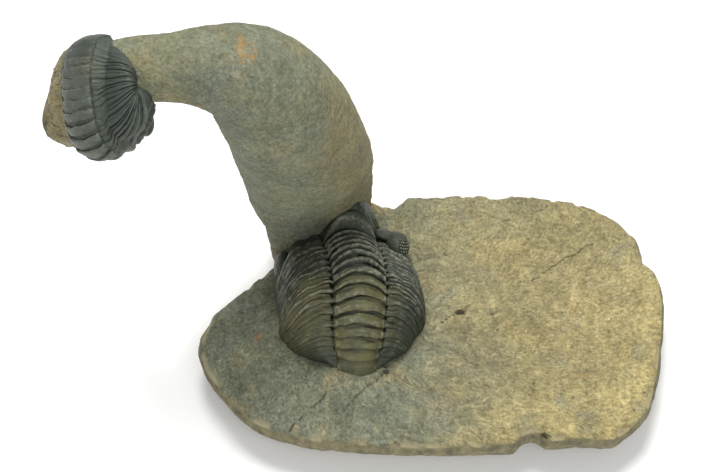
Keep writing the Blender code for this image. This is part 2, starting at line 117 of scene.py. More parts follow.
# Cracks of the slab: depth, half-width and corners, seen from above
SLAB_CRACKS = [
    (0.10, 0.16, [(-16.8, -20.2), (-12.9, -16.4), (-8.7, -12.1)]),
    (0.12, 0.17, [(-27.1, -24.5), (-23.8, -20.6), (-20.4, -17.1)]),
    (0.04, 0.10, [(19.4, 8.7), (25.3, 13.2), (31.8, 17.4)]),
    (0.08, 0.14, [(1.6, -0.9), (7.7, 3.4)]),
]
# Pits and stains of the slab: kind, depth, place and reach, seen from above
SLAB_SPOTS = [
    ("dark", 0.12, (-9.1, -12.5), (0.8, 0.7)), ("dark", 0.15, (5.4, 1.6), (1.2, 0.7)),
    ("warm", 0.05, (-33.6, -4.5), (0.9, 0.8)), ("dark", 0.2, (20.3, -25.4), (1.3, 0.9)),
    ("warm", 0.1, (28.8, -12.5), (0.6, 0.6)), ("pale", 0.0, (30.9, 8.3), (0.4, 0.4)),
]

# Arm: its middle line (x, y, z) and half-thickness, from the lower head to the upper one
ARM_PATH = [
    (-21.8, 22.6, 8.0, 11.0), (-22.0, 22.8, 12.0, 11.4), (-22.1, 22.8, 17.5, 11.7),
    (-23.3, 22.0, 26.0, 12.5), (-24.6, 20.9, 36.0, 12.6), (-25.6, 19.5, 43.0, 12.5),
    (-27.0, 17.8, 50.9, 12.1), (-28.8, 16.3, 57.8, 11.5), (-31.9, 15.7, 64.6, 10.6),
    (-34.7, 15.3, 67.9, 9.7), (-37.3, 15.0, 69.5, 8.8), (-40.4, 14.7, 70.3, 7.8),
    (-43.5, 14.4, 71.1, 7.0), (-48.5, 14.2, 70.9, 6.2), (-53.0, 14.6, 70.3, 6.2),
    (-56.4, 15.2, 69.4, 5.6),
]
# By height: thickness front to back as a share of side to side, and turn of the section
ARM_DEPTH = [(4.0, 0.50), (17.5, 0.50), (26.0, 0.64), (36.0, 0.80), (50.0, 0.90), (80.0, 0.95)]
ARM_TWIST = [(4.0, 32.0), (17.5, 30.0), (26.0, 22.0), (36.0, 10.0), (48.0, 0.0)]
ARM_ROUNDING = 60
ARM_SIDES = 170
ARM_STATIONS = 250
ARM_WAVE = 0.3
ARM_WAVE_LENGTH = 9.0
ARM_ROUGH = [(0.16, 4.2, 4, 61.0, 1.0), (0.07, 1.3, 3, 63.0, 1.0)]
# Orange stains of the arm: place and reach
ARM_SPOTS = [
    ((-34.4, 14.0, 77.0), (1.3, 3.0, 3.0)), ((-32.5, 13.0, 77.0), (0.7, 2.0, 2.0)),
    ((-16.5, 17.0, 24.5), (1.0, 2.0, 2.0)), ((-42.0, 8.0, 68.0), (0.7, 2.0, 1.2)),
    ((-27.0, 22.0, 69.0), (0.9, 3.0, 2.0)),
]
# Stone that fills the coil of the upper body: middle, half-sizes, reach of its roughness
FILL_CENTRE = np.array((-58.9, 11.8, 64.2))
FILL_SIZE = (7.6, 6.0, 5.8)
FILL_REACH = 8
FILL_ROUGH = [(0.35, 3.0, 4, 65.0, 1.0)]

# Colours of the slab: back left, back right, front, broken side, chips, stains and cracks
SLAB_GREY = (0.150, 0.158, 0.108)
SLAB_OLIVE = (0.262, 0.225, 0.112)
SLAB_YELLOW = (0.42, 0.345, 0.15)
SLAB_BROKEN = [(0.10, 0.095, 0.06), (0.26, 0.23, 0.13)]
SLAB_CHIP = (0.36, 0.32, 0.19)
SLAB_RUST = (0.30, 0.15, 0.045)
SLAB_CRACK = (0.035, 0.03, 0.02)
# Colours of the arm: two of its ground, its right edge and its stains
ARM_GREEN = (0.175, 0.178, 0.108)
ARM_GREY = (0.148, 0.160, 0.115)
ARM_OCHRE = (0.24, 0.20, 0.09)
ARM_RUST = (0.33, 0.19, 0.06)
# Blotches and specks: colour, size, detail, seed and roughness of the noise, its span, strength
SLAB_BLOTCHES = [
    ((0.17, 0.18, 0.145), 8, 5, 17.0, 0.65, (0.54, 0.66), 0.55),
    ((0.34, 0.265, 0.115), 11, 5, 23.0, 0.65, (0.52, 0.66), 0.5),
]
SLAB_SPECKS = [
    ((0.05, 0.045, 0.03), 0.9, 2, 15.0, 0.55, (0.64, 0.72), 0.6),
    ((0.55, 0.50, 0.36), 0.8, 2, 19.0, 0.55, (0.68, 0.75), 0.6),
]
ARM_BLOTCHES = [((0.24, 0.20, 0.10), 9, 5, 23.0, 0.65, (0.5, 0.66), 0.5)]
ARM_SPECKS = [
    ((0.45, 0.43, 0.33), 0.8, 2, 19.0, 0.55, (0.68, 0.75), 0.5),
    ((0.28, 0.17, 0.06), 1.5, 4, 13.0, 0.55, (0.66, 0.74), 0.6),
]
# Light and dark grain: size, detail, seed and roughness of the noise, its span, and strength
SLAB_GRAIN = [
    (7, 5, 7.0, 0.6, (0.32, 0.68), 0.22), (1.8, 5, 9.0, 0.7, (0.34, 0.66), 0.22),
    (0.5, 3, 11.0, 0.55, (0.3, 0.7), 0.32),
]
ARM_GRAIN = [
    (6, 5, 7.0, 0.6, (0.32, 0.68), 0.18), (1.5, 5, 9.0, 0.7, (0.34, 0.66), 0.17),
    (0.45, 3, 11.0, 0.55, (0.3, 0.7), 0.30),
]
SHELL_GRAIN = [(5, 4, 3.0, 0.55, (0.3, 0.7), 0.2)]
# Fine bumps: size, detail, seed and roughness of the noise, and depth
SLAB_BUMPS = [(1.6, 6, 2.0, 0.7, 0.45), (0.3, 3, 3.0, 0.55, 0.09)]
ARM_BUMPS = [(1.4, 6, 2.0, 0.7, 0.38), (0.3, 3, 3.0, 0.55, 0.08)]
SHELL_BUMPS = [(1.2, 6, 2.0, 0.7, 0.30), (0.25, 2, 3.0, 0.55, 0.05)]
# Least and greatest roughness of each finish, and strength of the gloss
SLAB_MATT = (0.78, 0.93)
ARM_MATT = (0.72, 0.9)
SHELL_SATIN = (0.36, 0.60)
STONE_GLOSS = 0.25
SHELL_GLOSS = 0.45
# Shells: colours plain, worn on the crests with painted highlight, and of the painted shade in the
# furrows, tint of the gloss, and colour and share of grit
LOWER_BASE = (0.027, 0.033, 0.024)
LOWER_WEAR_AND_HIGHLIGHT = (0.22, 0.225, 0.165)
UPPER_BASE = (0.041, 0.050, 0.043)
UPPER_WEAR_AND_HIGHLIGHT = (0.14, 0.165, 0.13)
FURROW_SHADE = (0.012, 0.012, 0.011)
GLOSS_TINT = (0.92, 1.0, 0.84)
SHELL_GRIT = (0.36, 0.25, 0.09)
LOWER_GRIT = 0.35
UPPER_GRIT = 0.15
# Stained parts of a shell: colour, from and to ring, from and to share, softness, strength
LOWER_PARTS = [
    ((0.105, 0.094, 0.035), (0.5, 19.5), (-0.36, 0.36), (2.0, 0.03), 0.85),
    ((0.105, 0.092, 0.038), (5.0, 24.0), (-1.0, -0.42), (3.0, 0.06), 0.75),
    ((0.075, 0.068, 0.032), (6.0, 20.0), (0.38, 0.56), (2.0, 0.06), 0.6),
]
UPPER_PARTS = [
    ((0.24, 0.195, 0.085), (0.0, 60.0), (0.40, 1.0), (3.0, 0.05), 0.9),
    ((0.12, 0.13, 0.105), (10.0, 36.0), (-0.34, 0.36), (3.0, 0.05), 0.45),
    ((0.13, 0.115, 0.075), (9.5, 13.0), (-0.45, -0.1), (1.2, 0.12), 0.5),
]

# Where the ribs of the upper body's near side draw together on the neck of the arm
HUB = np.array((-52.8, 8.5, 73.0))
HUB_FROM = 0.48
HUB_PULL = 0.92
HUB_BULGE = 1.1
UPPER_MIDDLE = np.array((-57.4, 11.0, 65.6))
# Smooth lobes of the upper body's cheek and the lower body's left cheek: middle and half-sizes
CHEEK_CENTRE = np.array((-52.4, 12.0, 57.8))
CHEEK_SIZE = (1.5, 2.4, 2.4)
GENAL_CENTRE = np.array((-28.9, 10.6, 12.6))
GENAL_SIZE = (1.9, 3.4, 3.2)

# Light of the surroundings, and lamps: name, place in metres, size, power and colour
WORLD_LIGHT = 0.39
LIGHTS = [
    ("key", (-0.04, 0.24, 0.64), 0.35, 4.9, (1.0, 0.99, 0.97)),
    ("fill", (0.08, -0.52, 0.46), 0.7, 2.7, (1.0, 1.0, 1.0)),
]
FLOOR_REACH = 2

# Body plan that both trilobites share, as shares of the way from crest to margin
THORAX_RINGS = 11
AXIS_SHARE = 0.36
FULCRUM_SHARE = 0.56
FLANK_STEEP = radians(86)
PLEURA_RISE = 0.7
BODY_FLOOR = 4.6
# Tail: bluntness and bow, starts of its axis and its margin, limits of its axis's half-width
TAIL_BLUNT = 0.30
TAIL_BOW = [(0.0, -0.5), (0.35, -0.1), (1.0, 1.0)]
TAIL_AXIS_START = 1.3
TAIL_MARGIN_START = 1.7
TAIL_AXIS_LEAST = 0.74
TAIL_AXIS_MOST = 0.86
# Knobs of the rings and pits of the furrow: share, half-width, and height or depth
KNOB_SHARE = 0.285
KNOB_WIDTH = 0.04
KNOB_HEIGHT = 0.30
PIT_SHARE = AXIS_SHARE + 0.005
PIT_WIDTH = 0.016
PIT_DEPTH = 0.75
# Eye and the lid beside it: place, shifts sideways, ahead and outward from there, half-sizes
EYE_RING = 3.4
EYE_SHARE = 0.60
EYE_SINK = -0.2
EYE_SHIFT = (0.0, -1.1, 0.5)
EYE_SIZE = (2.5, 3.2, 2.6)
LID_SHIFT = (-2.2, 0.5, 1.6)
LID_SIZE = (2.3, 1.9, 0.9)
EYE_TURNS = 150
EYE_RINGS = 96
LENS_COLUMNS = 26
LENS_ROWS = 14
LENS_HEIGHT = 0.13
LENS_SINK = 0.10
# Roughness of the shells: lumps, grit, shreds along the ribs, and grains of the head
LUMP_LENGTH = 2.6
LUMP_HEIGHT = 0.13
GRIT_LENGTH = 0.7
GRIT_HEIGHT = 0.04
SHRED_WIDTH = 0.55
SHRED_HEIGHT = 0.10
GRAIN_SPACING = 0.95
GRAIN_HEIGHT = 0.2
# Upper body alone: more lumps on its far side, and deeper ribs on its near one
FAR_LUMPS = 0.3
NEAR_RIBS = 1.7

# Rows of the fine mesh in one thorax ring, one tail ring and the head
RING_ROWS = 20
TAIL_ROWS = 14
HEAD_ROWS = 84
HALF_COLUMNS = 98
TAIL_BOUNDS = [0.0, 0.30, 0.53, 0.76, 1.0]

# Lift across one ring, from its rear lip forward to where it slips under the next
AXIS_PROFILE = [(0.0, 0.05), (0.04, 0.34), (0.11, 0.44), (0.26, 0.34), (0.46, 0.18), (0.62, -0.04),
                (0.72, -0.34), (0.79, -0.44), (0.87, -0.30), (0.94, -0.36), (1.0, -0.7)]
PLEURA_PROFILE = [(0.0, 0.04), (0.05, 0.24), (0.18, 0.32), (0.32, 0.22), (0.42, -0.10),
                  (0.50, -0.20), (0.58, -0.06), (0.68, 0.16), (0.80, 0.18), (0.91, 0.02),
                  (1.0, -0.50)]
HEAD_PROFILE = [(0.0, -0.5), (0.012, 0.12), (0.05, 0.34), (0.09, 0.24), (0.14, -0.5),
                (0.19, -0.02), (0.26, 0.1), (0.95, 0.05), (1.0, 0.0)]
LIP_OVERHANG = 0.16


def glide(x, knots):
    """Smooth curve through (x, y) knots that never swings past them."""
    at = np.array([k[0] for k in knots], float)
    val = np.array([k[1] for k in knots], float)
    step = np.diff(val) / np.diff(at)
    slope = np.zeros(len(at))
    slope[0], slope[-1] = step[0], step[-1]
    for i in range(1, len(at) - 1):
        if step[i - 1] * step[i] > 0:
            slope[i] = 2 * step[i - 1] * step[i] / (step[i - 1] + step[i])
    x = np.clip(np.asarray(x, float), at[0], at[-1])
    i = np.clip(np.searchsorted(at, x, side="right") - 1, 0, len(at) - 2)
    h = at[i + 1] - at[i]
    t = (x - at[i]) / h
    rise = (3 * t**2 - 2 * t**3) * (val[i + 1] - val[i])
    return val[i] + rise + h * ((t**3 - 2 * t**2 + t) * slope[i] + (t**3 - t**2) * slope[i + 1])


def smooth_step(x, low, high):
    """0 at low, 1 at high, with a smooth passage between them."""
    t = np.clip((np.asarray(x, float) - low) / (high - low), 0, 1)
    return t * t * (3 - 2 * t)


def fractal(points, length, octaves, seed=0.0):
    """Fractal noise at each point, about -1 to 1, with features of the given length."""
    shift = Vector((seed, -seed, 2 * seed))
    return np.array([noise.fractal(Vector(p) / length + shift, 0.8, 2.1, octaves)
                     for p in points.reshape(-1, 3)]).reshape(points.shape[:-1])


def rough_height(points, layers):
    """Height of a rough surface over its plain form at each point, summed over its layers."""
    return sum(height * fractal(points * (1, 1, squeeze), length, octaves, seed)
               for height, length, octaves, seed, squeeze in layers)


def pimples(points, spacing, seed):
    """Rounded grains on a scattered grid: 1 on top of a grain, 0 between grains."""
    shift = Vector((seed, seed, seed))
    near = np.array([noise.voronoi(Vector(p) / spacing + shift)[0][0]
                     for p in points.reshape(-1, 3)]).reshape(points.shape[:-1])
    return np.clip(1 - (near / 0.55) ** 2, 0, 1)


def turned(yaw, pitch, roll):
    """Rotation: roll about +Y first, then pitch about +X, then yaw about +Z, in degrees."""
    spin = Matrix.Rotation(radians(yaw), 3, "Z") @ Matrix.Rotation(radians(pitch), 3, "X")
    return np.array(spin @ Matrix.Rotation(radians(roll), 3, "Y"))


def grid_normals(grid, wrap=False):
    """Unit normals of a grid of points, from its rows and columns."""
    if wrap:
        wide = np.concatenate([grid[:, -1:], grid, grid[:, :1]], 1)
        across = np.gradient(wide, axis=1)[:, 1:-1]
    else:
        across = np.gradient(grid, axis=1)
    normal = np.cross(across, np.gradient(grid, axis=0))
    return normal / np.maximum(np.linalg.norm(normal, axis=-1, keepdims=True), 1e-9)


def grid_faces(rows, columns, wrap=False):
    """Quads of a grid of points, closed round its columns if wrapped."""
    faces = []
    last = columns if wrap else columns - 1
    for i in range(rows - 1):
        a = i * columns
        for j in range(last):
            k = (j + 1) % columns
            faces.append((a + j, a + k, a + columns + k, a + columns + j))
    return faces


def build_piece(name, points, faces, marks, finish, node):
    """Smooth piece in place of a node, from points in millimetres and named values per point."""
    mesh = bpy.data.meshes.new(name)
    mesh.from_pydata((np.asarray(points, float) * MM).tolist(), [], faces)
    bm = bmesh.new()
    bm.from_mesh(mesh)
    bmesh.ops.recalc_face_normals(bm, faces=bm.faces)
    bm.to_mesh(mesh)
    bm.free()
    for word, values in marks.items():
        layer = mesh.attributes.new(word, "FLOAT", "POINT")
        layer.data.foreach_set("value", np.asarray(values, np.float32))
    mesh.shade_smooth()
    mesh.materials.append(finish)
    thing = bpy.data.objects.new(name, mesh)
    bpy.context.scene.collection.objects.link(thing)
    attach(thing, "root")
    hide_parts(node)


class Trilobite:
    """One trilobite's shell as a surface over ring (length along the back) and share across."""

    def __init__(self, tail, ring, head, turn, flank_turn, half_width, vault, axis, crest,
                 tail_crest, fulcrum, sweep, bow, dome, taper, frame, origin, relief, seed,
                 trim=(1.0, 1.0), hubbed=False, far_swell=0.0):
        self.tail = tail
        lengths = np.linspace(ring[0], ring[1], THORAX_RINGS)
        self.bounds = tail + np.concatenate([[0], np.cumsum(lengths)])
        self.neck = self.bounds[-1]
        self.head = head
        self.half_width = half_width
        self.vault = vault
        self.axis = axis
        self.crest = crest
        self.tail_crest = tail_crest
        self.fulcrum = fulcrum
        self.sweep = sweep
        self.bow = bow
        self.dome = dome
        self.taper = taper
        self.flank_turn = flank_turn
        self.trim = trim
        self.relief = relief
        self.seed = seed
        self.hubbed = hubbed
        self.far_swell = far_swell
        self.frame = frame
        self.origin = np.array(origin, float)
        self.along = np.linspace(-4, self.neck + head + 4, 1200)
        self.angle = np.radians(glide(self.along, turn))
        middle = (self.angle[1:] + self.angle[:-1]) / 2
        step = np.diff(self.along)
        self.fore = np.concatenate([[0], np.cumsum(np.sin(middle) * step)])
        self.rise = np.concatenate([[0], np.cumsum(np.cos(middle) * step)])
        self.fore -= np.interp(0, self.along, self.fore)
        self.rise -= np.interp(0, self.along, self.rise)

    def section(self, share):
        """Half cross-section of a ring: lateral reach, depth, pleural swelling and sweep."""
        arch = np.clip(share / AXIS_SHARE, 0, 1) * pi / 2
        x = self.axis * np.sin(arch)
        depth = self.crest * (1 - np.cos(arch))
        t = np.clip((share - AXIS_SHARE) / (FULCRUM_SHARE - AXIS_SHARE), 0, 1)
        x = x + (self.fulcrum[0] - self.axis) * t
        depth = depth + self.fulcrum[1] * t
        swell = PLEURA_RISE * np.sin(pi * t**0.6)
        t = np.clip((share - FULCRUM_SHARE) / (1 - FULCRUM_SHARE), 0, 1) * FLANK_STEEP
        x = x + (self.half_width - self.fulcrum[0]) * np.sin(t) / np.sin(FLANK_STEEP)
        drop = self.vault - self.crest - self.fulcrum[1]
        depth = depth + drop * (1 - np.cos(t)) / (1 - np.cos(FLANK_STEEP))
        swept = np.clip((share - 0.48) / 0.52, 0, 1) ** 1.4
        return x, depth, swell, swept

    def row(self, ring):
        """Axis place, half-width and height, then margin place, reach and depth, of a row."""
        knots = [(self.tail, 0.94), (self.neck - 8, 1.0), (self.neck, 1.0)]
        crest = self.crest * glide(ring, [(self.tail, self.tail_crest), (self.tail + 10, 1.0),
                                          (self.neck, 1.0)])
        if ring < self.tail:
            v = ring / self.tail
            fan = pi / 2 * v**0.85
            width = self.axis * 0.94 * np.sqrt(1 - (1 - v) ** 4) * (0.85 + 0.15 * v)
            spread = TAIL_BLUNT + (1 - TAIL_BLUNT) * np.sin(fan)
            reach = self.half_width * glide(self.tail, self.taper) * spread
            width = min(max(width, TAIL_AXIS_LEAST * self.axis), TAIL_AXIS_MOST * reach)
            edge = 0.45 * crest + 0.3
            margin = TAIL_MARGIN_START * (1 - v) + (self.tail - self.sweep) * (1 - np.cos(fan))
            return (TAIL_AXIS_START + v * (self.tail - TAIL_AXIS_START), width,
                    crest * (0.45 + 0.55 * v), margin, reach,
                    edge + (self.vault - edge) * np.sin(fan))
        if ring <= self.neck:
            reach = self.half_width * glide(ring, self.taper)
            return ring, self.axis * glide(ring, knots), crest, ring - self.sweep, reach, self.vault
        c = (ring - self.neck) / self.head
        fan = pi / 2 * c**0.9
        reach = self.half_width * glide(self.neck, self.taper) * np.cos(fan)
        spread = glide(c, [(0, 1.0), (0.25, 1.02), (0.75, 1.5), (1, 1.55)])
        width = min(self.axis * spread * np.sqrt(1 - c**5), reach * 0.96)
        return (self.neck + c * (self.head - 0.8), width, crest * (1 - 0.6 * c),
                self.neck - self.sweep + (self.head + self.sweep) * np.sin(fan), reach,
                1.5 + (self.vault - 1.5) * np.cos(fan))

    def waver(self, ring, share, turns):
        """Slow wave over the shell, about -1 to 1, with the given number of turns across it."""
        a = np.sin(turns * 2.3 * share + 0.71 * ring + self.seed)
        b = np.sin(turns * 4.9 * share - 1.13 * ring + 2.1 * self.seed)
        c = np.sin(turns * 9.7 * share + 1.9 * ring + 3.7 * self.seed)
        return 0.5 * a + 0.3 * b + 0.2 * c

    def lift(self, ring, share, kind, place):
        """Relief of the ribs at one row: the height over the plain shell, in millimetres."""
        if kind == "plain":
            return np.zeros_like(share)
        side, share = share, np.abs(share)
        pleura = smooth_step(share, AXIS_SHARE - 0.01, AXIS_SHARE + 0.05)
        if kind == "head":
            lift = glide(place, HEAD_PROFILE) * (1 - 0.7 * pleura * smooth_step(place, 0.1, 0.16))
            return lift * np.ones_like(share)
        place = np.clip(place + 0.16 * self.waver(ring, side, 3.0) * np.sin(pi * place), 0, 1)
        lift = glide(place, AXIS_PROFILE) * (1 - pleura) + glide(place, PLEURA_PROFILE) * pleura
        lift = lift * (1 + 0.45 * self.waver(0.6 * ring, side, 2.0))
        lift = lift * (0.60 + 0.65 * smooth_step(ring, self.tail + 4, self.tail + 16))
        band = np.sin(pi * np.clip(place / 0.72, 0, 1))
        knob = np.exp(-((share - KNOB_SHARE) / KNOB_WIDTH) ** 2) * band
        pit = np.exp(-((share - PIT_SHARE) / PIT_WIDTH) ** 2)
        pit = pit * np.exp(-((place - 0.78) / 0.2) ** 2)
        if kind == "tail":
            ribs = 0.5 + 0.4 * ring / self.tail
            lift = lift * np.where(share > AXIS_SHARE, ribs * 0.7, ribs)
            pit = pit * 0.4 * ring / self.tail
        return (lift + KNOB_HEIGHT * knob - PIT_DEPTH * pit) * self.relief

    def draw_in(self, points, share):
        """Points of the near side drawn in towards the neck of the arm, with a rounded swell."""
        if not self.hubbed:
            return points
        pull = smooth_step(-share, HUB_FROM, 1.0)[..., None]
        outward = points - UPPER_MIDDLE
        outward /= np.linalg.norm(outward, axis=-1, keepdims=True)
        drawn = points + (HUB - points) * HUB_PULL * pull
        return drawn + outward * HUB_BULGE * np.sin(pi * pull) ** 1.5

    def point(self, ring, share, kind, place, shift=0.0):
        """Points of one row of the shell in the frame, and the relief there."""
        side = np.sign(share)
        signed = share
        share = np.abs(share)
        shift = shift + 0.24 * self.waver(ring, signed, 4.0) * (kind == "thorax")
        axis_place, width, crest, edge_place, edge, edge_depth = self.row(ring)
        x, depth, swell, swept = self.section(share)
        on_axis = share <= AXIS_SHARE
        across = x / self.axis
        out = np.clip((x - self.axis) / (self.half_width - self.axis), 0, 1)
        down = (depth - self.crest) / (self.vault - self.crest)
        x = np.where(on_axis, across * width, width + out * (edge - width))
        low = np.where(on_axis, depth / self.crest * crest, crest + down * (edge_depth - crest))
        swell = swell * min(1.0, 1.5 * ring / self.tail)
        low = low - swell * np.clip((edge - width) / (self.half_width - self.axis), 0, 1)
        bow = self.bow * np.clip(1 - across**2, 0, 1)
        if ring < self.tail:
            bow = bow * glide(ring / self.tail, TAIL_BOW)
        if ring > self.neck:
            c = (ring - self.neck) / self.head
            bow = bow * (1 - c)
            dome = self.dome * np.sin(pi * min(c, 1.0) ** 0.75) ** 0.8
            low = low - np.where(on_axis, dome * np.clip(1 - across**2.5, 0, 1), 0)
        along = axis_place + bow + swept * (edge_place - axis_place) + shift
        flank = np.clip((share - AXIS_SHARE) / (FULCRUM_SHARE - AXIS_SHARE), 0, 1)
        fade = 1 - 0.22 * flank - 0.5 * np.clip((share - 0.86) / 0.14, 0, 1)
        fade = fade * min(1.0, ring / self.tail * 3)
        lift = self.lift(ring, signed, kind, place)
        x = x * np.where(side > 0, 1 + self.far_swell * flank, 1)
        points = self.world(x * side, along, low - lift * fade, flank)
        return self.draw_in(points, signed), lift

    def world(self, x, along, depth, flank):
        """Points in the frame, from reach to the side, way along the back and depth under it."""
        fore = np.interp(along, self.along, self.fore)
        rise = np.interp(along, self.along, self.rise)
        a = np.interp(along, self.along, self.angle)
        b = np.radians(glide(along, self.flank_turn))
        near = np.minimum(depth, self.crest)
        far = depth - near
        fore = fore + near * np.cos(a) + far * (np.cos(a) * (1 - flank) + np.cos(b) * flank)
        rise = rise - near * np.sin(a) - far * (np.sin(a) * (1 - flank) + np.sin(b) * flank)
        return np.stack([x, fore, rise], -1) @ self.frame.T + self.origin

    def rows(self):
        """Rows of the fine mesh, tail first: ring, kind, place in the ring and shift."""
        rows = [(0.01 * self.tail, "tail", 0.5, 0.0)]
        tail = np.array(TAIL_BOUNDS) * self.tail
        for kind, bounds, count in (("tail", tail, TAIL_ROWS), ("thorax", self.bounds, RING_ROWS)):
            for start, end in zip(bounds, bounds[1:]):
                for k in range(count):
                    place = ((k + 0.5) / count) ** 1.15
                    lip = LIP_OVERHANG * np.exp(-place / 0.05)
                    ring = start + place * (end - start)
                    if ring > 0.012 * self.tail:
                        rows.append((ring, kind, place, -lip * (kind == "thorax")))
                rows.append((end, kind, 1.0, 0.05))
        for k in range(HEAD_ROWS):
            place = 0.992 * ((k + 0.5) / HEAD_ROWS) ** 1.25
            rows.append((self.neck + place * self.head, "head", place, 0.0))
        return rows

    def surface(self):
        """Fine grid of shell points, its relief, and the ring and share of each point."""
        half = np.linspace(0, 1, HALF_COLUMNS + 1)
        share = np.concatenate([-half[:0:-1] * self.trim[0], half * self.trim[1]])
        rows = self.rows()
        made = [self.point(r, share, kind, place, shift) for r, kind, place, shift in rows]
        grid = np.array([m[0] for m in made])
        lift = np.array([m[1] for m in made])
        ring = np.array([r[0] for r in rows])[:, None] * np.ones_like(lift)
        return grid, lift, ring, share[None, :] * np.ones_like(lift)

    def eye_frame(self, side):
        """Place of the eye on one side, and its lateral, forward and outward directions."""
        ring = self.neck + EYE_RING
        share = np.array([side * EYE_SHARE, side * EYE_SHARE + 0.03, side * EYE_SHARE - 0.03])
        here, plus, minus = self.point(ring, share, "plain", 0.5)[0]
        ahead = self.point(ring + 0.5, share[:1], "plain", 0.5)[0][0] - here
        ahead /= np.linalg.norm(ahead)
        out = np.cross(plus - minus, ahead)
        out /= np.linalg.norm(out)
        return here + out * EYE_SINK, np.array((np.cross(ahead, out), ahead, out))


def lower_trilobite():
    """Arched body on the slab: tail to the front, head to the back."""
    tail, ring, head = 9.8, (2.6, 2.13), 15.5
    neck = tail + sum(ring) / 2 * THORAX_RINGS
    turn = [(-4, 20), (0, 30), (tail, 46), (tail + 5, 58), (tail + 10.3, 84), (tail + 15, 110),
            (neck - 6, 120), (neck, 123), (neck + 7, 127), (neck + 11, 150), (neck + 15.5, 200),
            (neck + 19.5, 205)]
    flank = [(-4, 45), (0, 50), (tail, 74), (tail + 10, 104), (neck - 6, 116), (neck, 121),
             (neck + 15.5, 150), (neck + 19.5, 160)]
    taper = [(0, 0.82), (tail, 0.86), (tail + 9, 0.98), (neck, 1.0), (neck + 20, 1.0)]
    return Trilobite(tail, ring, head, turn, flank, half_width=14.3, vault=12.8, axis=5.2,
                     crest=3.3, tail_crest=1.0, fulcrum=(8.8, 0.5), sweep=5.4, bow=1.5,
                     dome=5.2, taper=taper, frame=turned(4, 0, 9), origin=(-14.6, -14.5, 12.6),
                     relief=1.25, seed=3.0)


def upper_trilobite():
    """Enrolled body at the end of the arm: left flank to the front and up, crest to the left."""
    tail, ring, head = 9.4, (1.68, 2.95), 15.0
    neck = tail + sum(ring) / 2 * THORAX_RINGS
    turn = [(-4, -72), (0, -47), (tail, 45), (tail + 6.4, 66.5), (tail + 12.7, 81),
            (tail + 19.1, 127.5), (neck, 196.5), (neck + 15, 251.5), (neck + 19, 271)]
    flank = [(-4, -27), (0, -17), (tail, 50), (neck, 191.5), (neck + 15, 191.6), (neck + 19, 201)]
    taper = [(0, 0.95), (tail, 0.96), (tail + 9, 1.0), (neck, 1.0), (neck + 20, 1.0)]
    lateral = np.array((-0.677, 0.3825, -0.629))
    upward = np.array((-0.654, -0.704, 0.276))
    upward -= upward @ lateral / (lateral @ lateral) * lateral
    lateral /= np.linalg.norm(lateral)
    upward /= np.linalg.norm(upward)
    frame = np.stack([lateral, np.cross(upward, lateral), upward], 1)
    return Trilobite(tail, ring, head, turn, flank, half_width=13.1, vault=7.1, axis=4.25,
                     crest=1.95, tail_crest=0.7, fulcrum=(6.2, 1.15), sweep=1.6, bow=0.5,
                     dome=1.8, taper=taper, frame=frame, origin=(-58.75, 21.0, 70.9),
                     trim=(1.0, 0.92), relief=0.48, seed=11.0, hubbed=True, far_swell=0.06)


def lobe(centre, axes, radii, lenses=False, turns=72, rings=46):
    """Closed ellipsoid grid, with rows of lens bumps on its outer face if it is an eye."""
    tilt = np.linspace(0.02, pi - 0.02, rings)[:, None]
    turn = np.linspace(0, 2 * pi, turns, endpoint=False)[None, :]
    u = np.sin(tilt) * np.cos(turn)
    v = np.sin(tilt) * np.sin(turn)
    w = -np.cos(tilt) * np.ones_like(turn)
    swell = np.ones_like(u)
    relief = np.full_like(u, 0.1)
    if lenses:
        column = turn * LENS_COLUMNS / (2 * pi) * np.ones_like(tilt)
        line = tilt / pi * LENS_ROWS * np.ones_like(turn)
        slip = np.where(np.floor(line) % 2 == 0, 0.0, 0.5)
        near = np.hypot((column + slip) % 1 - 0.5, (line % 1 - 0.5) * 0.9)
        field = smooth_step(u, -0.4, -0.3) * smooth_step(w, -0.8, -0.6)
        field = field * (1 - smooth_step(w, 0.8, 0.88))
        bead = np.sqrt(np.clip(1 - (near / 0.46) ** 2, 0, 1))
        swell = swell + field * (LENS_HEIGHT * bead - LENS_SINK)
        # Relief of the eye: low between the lenses and high on them, so the shell's colour paints
        # shade between them and wear and highlight on them.
        relief = relief + field * (1.5 * bead - 0.8)
    grid = (centre + axes[0] * (radii[0] * u * swell)[..., None]
            + axes[1] * (radii[1] * v * swell)[..., None]
            + axes[2] * (radii[2] * w * swell)[..., None])
    faces = grid_faces(rings, turns, wrap=True)
    faces.append(tuple(range(turns)))
    faces.append(tuple(range((rings - 1) * turns, rings * turns)))
    return grid.reshape(-1, 3), faces, relief.reshape(-1)


def rough_shell(body):
    """Grid of shell points with their finer roughness, and relief, ring and share of each."""
    grid, lift, ring, share = body.surface()
    normal = grid_normals(grid)
    flat = 1 - smooth_step(np.abs(share), 0.93 * body.trim[1], body.trim[1])
    far = smooth_step(share, 0.38, 0.5) * body.hubbed
    near = smooth_step(-share, 0.42, 0.62) * body.hubbed
    lumps = fractal(grid, LUMP_LENGTH, 4, body.seed) * (LUMP_HEIGHT + FAR_LUMPS * far)
    combed = np.stack([ring / SHRED_WIDTH, 5 * share, np.full_like(ring, body.seed)], -1)
    shreds = fractal(combed, 1.0, 3, body.seed) * smooth_step(ring, 2, 6) * body.relief
    fine = fractal(grid, GRIT_LENGTH, 3, body.seed + 5) * GRIT_HEIGHT + shreds * SHRED_HEIGHT
    fine += NEAR_RIBS * lift * near
    head = smooth_step(ring, body.neck + 1.5, body.neck + 3.5)
    on_dome = 1 - smooth_step(np.abs(share), 0.44, 0.62)
    grains = np.zeros_like(lift)
    rows = np.nonzero(head[:, 0] > 0)[0]
    grains[rows] = pimples(grid[rows], GRAIN_SPACING, body.seed) * head[rows]
    grains *= 0.25 + 0.75 * on_dome
    grid = grid + normal * ((lumps + fine + GRAIN_HEIGHT * grains) * flat)[..., None]
    return grid, lift + 0.25 * shreds + 0.35 * grains, ring, share


